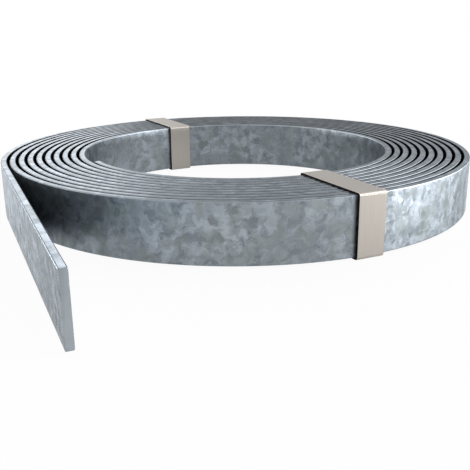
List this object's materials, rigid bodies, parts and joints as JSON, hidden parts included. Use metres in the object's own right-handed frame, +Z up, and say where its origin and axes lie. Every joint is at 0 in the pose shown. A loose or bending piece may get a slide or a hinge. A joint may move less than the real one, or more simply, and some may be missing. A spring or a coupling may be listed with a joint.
{
  "type": "galvanized steel strip coil",
  "caption": "Flat coil of hot-dip galvanized steel strip wound on edge in an open spiral, with a loose straight tail and flat straps that hold the turns together.",
  "frame": {"origin": "on the coil's axis, at the level of the surface that the straps stand on", "axes": "+Z up along the coil's axis, -Y along the straight tail, which leaves the coil on its -X side"},
  "size_m": [0.2791, 0.3191, 0.032],
  "materials": {
    "galvanized_strip": "hot-dip galvanized zinc, pale blue grey, satin, with a mottled spangle",
    "strap": "warm grey coated steel strapping, semi-gloss, with dark slit edges"
  },
  "bodies": {
    "root": {"strip": "galvanized_strip", "strap_front": "strap", "strap_back": "strap"}
  },
  "joints": []
}
